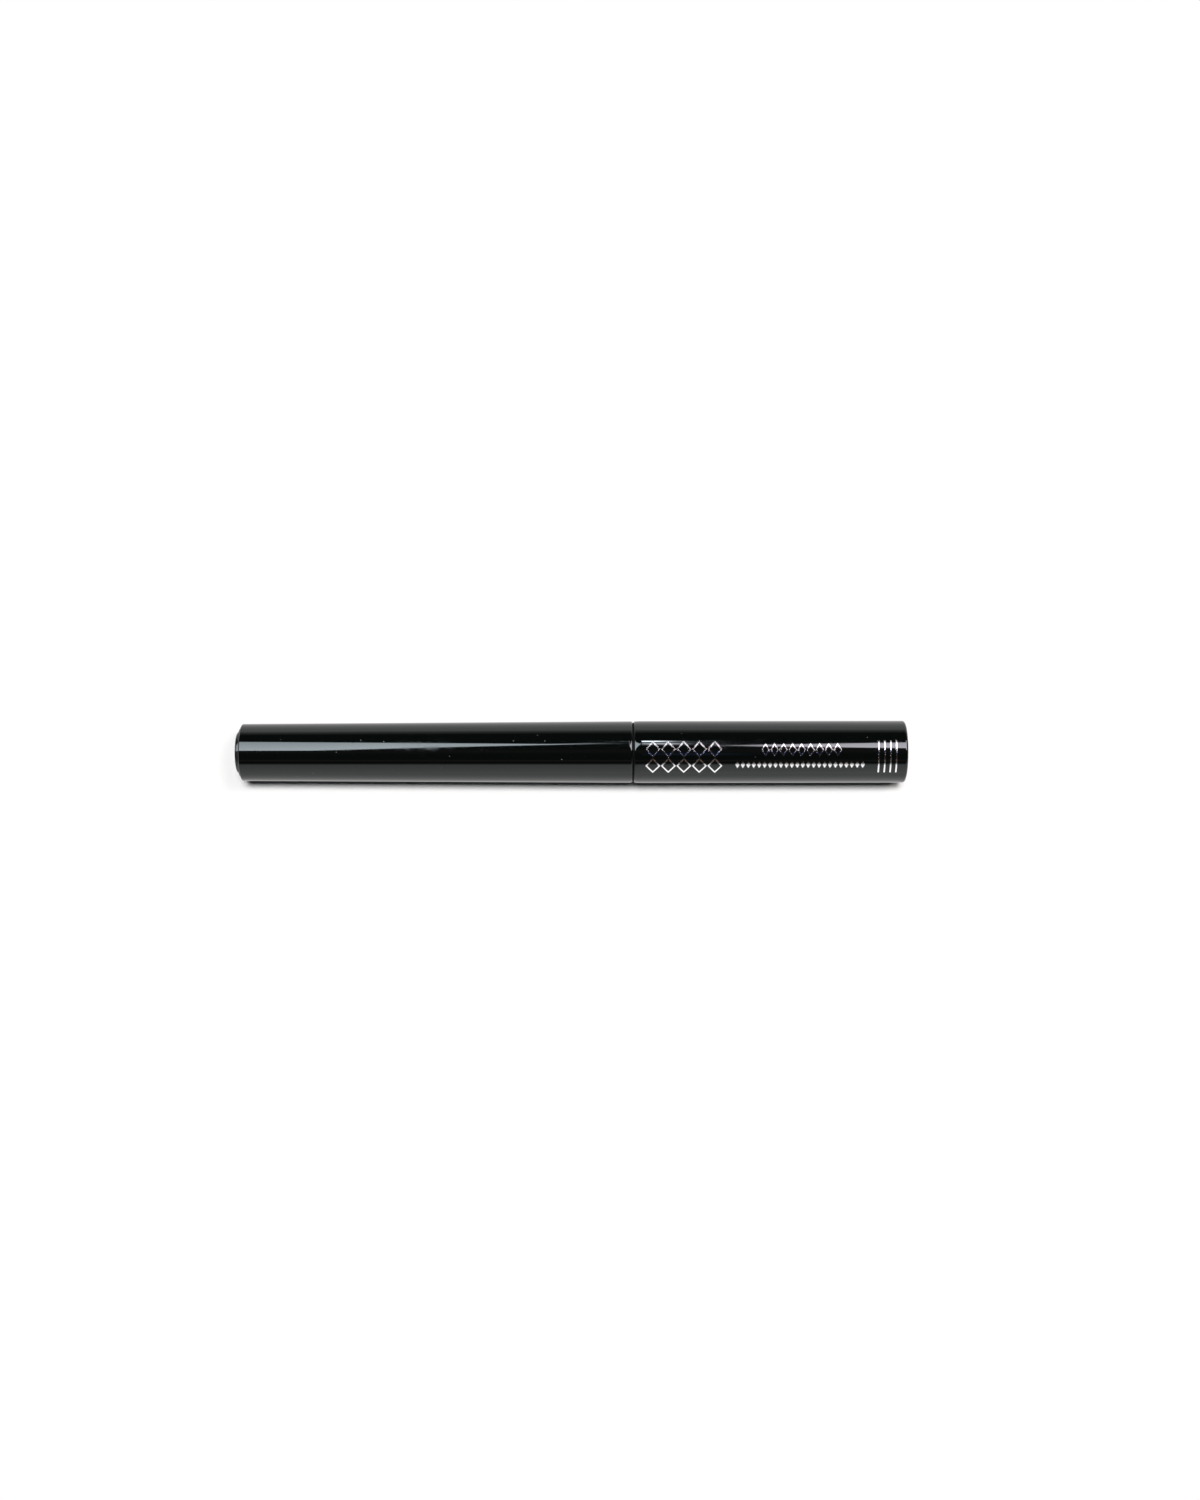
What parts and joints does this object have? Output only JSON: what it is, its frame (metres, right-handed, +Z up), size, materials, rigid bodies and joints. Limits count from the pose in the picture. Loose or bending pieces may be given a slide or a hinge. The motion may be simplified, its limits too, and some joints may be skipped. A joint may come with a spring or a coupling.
{
  "type": "liquid eyeliner bottle",
  "caption": "Slim dip liquid eyeliner, closed and lying on its side: a straight round bottle with a screw neck and a long tapered cap that carries the brush wand.",
  "frame": {"origin": "middle of the base of the pen's box, on the surface that the pen lies on", "axes": "+X along the pen from the cap to the bottle's base, +Y across it, +Z up; the pen's axis runs along X at z = 6 mm"},
  "size_m": [0.129, 0.012, 0.012],
  "materials": {
    "bottle_casing": "polished black",
    "cap_casing": "polished black",
    "plug_casing": "polished black",
    "vial_moulding": "satin black",
    "inner_moulding": "satin black",
    "wand_moulding": "satin black",
    "wiper_soft": "soft natural",
    "washer_foam": "soft natural",
    "bristle_fibre": "fine black fibre",
    "foil_print": "hot-stamped silver foil"
  },
  "bodies": {
    "bottle": {"bottle_shell": "bottle_casing", "vial": "vial_moulding", "wiper": "wiper_soft"},
    "seal_washer": {"seal_washer": "washer_foam"},
    "brush_tuft": {"bristles": "bristle_fibre"},
    "closure": {"cap_shell": "cap_casing", "end_plug": "plug_casing", "inner_cap": "inner_moulding", "wand_rod": "wand_moulding", "brush_holder": "wand_moulding"}
  },
  "joints": [
    {"name": "cap_pull", "type": "slide", "parent": "bottle", "child": "seal_washer", "axis": [-1, 0, 0], "range_m": [0, 0.058]},
    {"name": "thread_rise", "type": "slide", "parent": "seal_washer", "child": "brush_tuft", "axis": [-1, 0, 0], "range_m": [0, 0.00263]},
    {"name": "cap_turn", "type": "hinge", "parent": "brush_tuft", "child": "closure", "pos_m": [0, 0, 0.006], "axis": [-1, 0, 0], "range_deg": [0, 630]}
  ],
  "couplings": [
    {"joint": "thread_rise", "follows": "cap_turn", "m_per_rad": 0.00023873}
  ]
}
